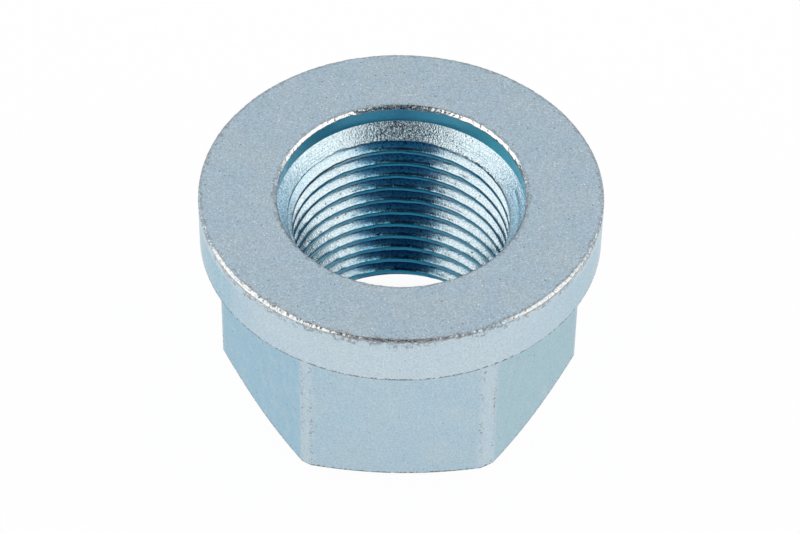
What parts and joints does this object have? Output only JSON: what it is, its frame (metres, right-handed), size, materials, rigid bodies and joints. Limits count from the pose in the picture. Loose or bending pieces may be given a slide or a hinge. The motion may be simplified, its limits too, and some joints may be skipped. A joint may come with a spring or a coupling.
{
  "type": "lug nut",
  "caption": "Wheel nut with a wrench hexagon, a round flat-seat collar, a counterbored mouth and a fine right-hand metric thread through it.",
  "frame": {"origin": "centre of the free end face of the hexagon, on the thread's axis", "axes": "+Z along the thread's axis, towards the collar's flat seat face; two flats of the hexagon face -Y and +Y"},
  "size_m": [0.034, 0.034, 0.0208],
  "materials": {
    "zinc_plated_steel": "pale blue zinc plating, satin, with fine pits and bright worn edges"
  },
  "bodies": {
    "root": {"lug_nut": "zinc_plated_steel"}
  },
  "joints": []
}
